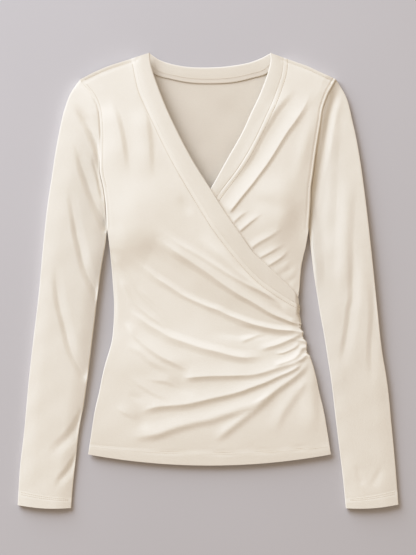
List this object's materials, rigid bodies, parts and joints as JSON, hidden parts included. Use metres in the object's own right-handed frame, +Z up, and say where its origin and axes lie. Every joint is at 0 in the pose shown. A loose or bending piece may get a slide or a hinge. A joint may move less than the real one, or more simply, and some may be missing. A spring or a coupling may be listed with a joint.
{
  "type": "wrap top",
  "caption": "Long-sleeved jersey wrap top laid flat, with a crossed V neck, banded edges and gathers at one side seam.",
  "frame": {"origin": "on the surface that the top lies on, under the middle of its outline", "axes": "+Z up from the surface, +Y towards the neck, +X towards the wearer's left"},
  "size_m": [0.57, 0.6821, 0.0197],
  "materials": {
    "jersey": "matte, fine knit",
    "jersey_band": "matte, fine knit, doubled"
  },
  "bodies": {
    "root": {"back_panel": "jersey", "front_under": "jersey", "front_over": "jersey", "neckband_back": "jersey_band", "neckband_under": "jersey_band", "neckband_over": "jersey_band", "sleeve_right": "jersey", "sleeve_left": "jersey"}
  },
  "joints": []
}
